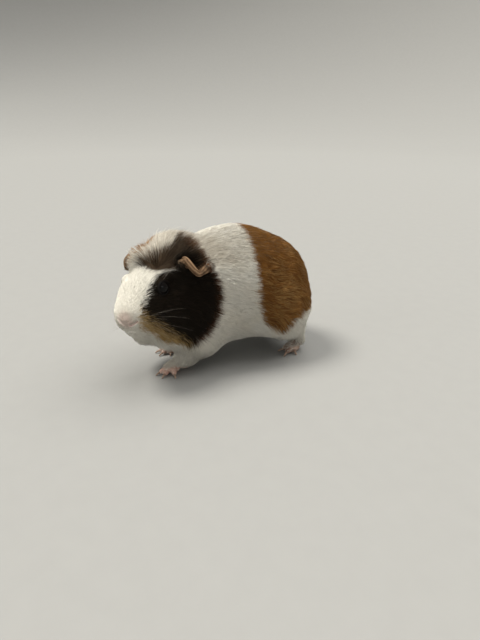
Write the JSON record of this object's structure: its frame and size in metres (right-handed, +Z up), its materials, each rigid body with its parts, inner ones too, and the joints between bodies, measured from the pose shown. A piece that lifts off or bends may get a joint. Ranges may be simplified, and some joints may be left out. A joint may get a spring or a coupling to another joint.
{
  "type": "guinea pig",
  "caption": "Life-size still model of a short-haired crested guinea pig, standing with its head turned to its left, in white, ginger and dark fur.",
  "frame": {"origin": "on the floor, under the middle of the outline", "axes": "+Z up, the animal faces -Y, its left side is +X; the head is turned to its left"},
  "size_m": [0.1116, 0.2142, 0.1386],
  "materials": {
    "coat": "fur, white with brown and near-black patches",
    "skin_ear": "bare skin",
    "eye": "wet gloss",
    "skin_foot": "bare skin",
    "claw": "horn"
  },
  "bodies": {
    "root": {"head": "coat", "neck": "coat", "trunk": "coat", "leg_front_left": "coat", "leg_front_right": "coat", "leg_hind_left": "coat", "leg_hind_right": "coat", "foot_front_left": "skin_foot", "foot_front_right": "skin_foot", "foot_hind_left": "skin_foot", "foot_hind_right": "skin_foot", "ear_left": "skin_ear", "ear_right": "skin_ear", "eye_left": "eye", "eye_right": "eye", "claw_front_left_1": "claw", "claw_front_left_2": "claw", "claw_front_left_3": "claw", "claw_front_left_4": "claw", "claw_front_right_1": "claw", "claw_front_right_2": "claw", "claw_front_right_3": "claw", "claw_front_right_4": "claw", "claw_hind_left_1": "claw", "claw_hind_left_2": "claw", "claw_hind_left_3": "claw", "claw_hind_right_1": "claw", "claw_hind_right_2": "claw", "claw_hind_right_3": "claw"}
  },
  "joints": []
}
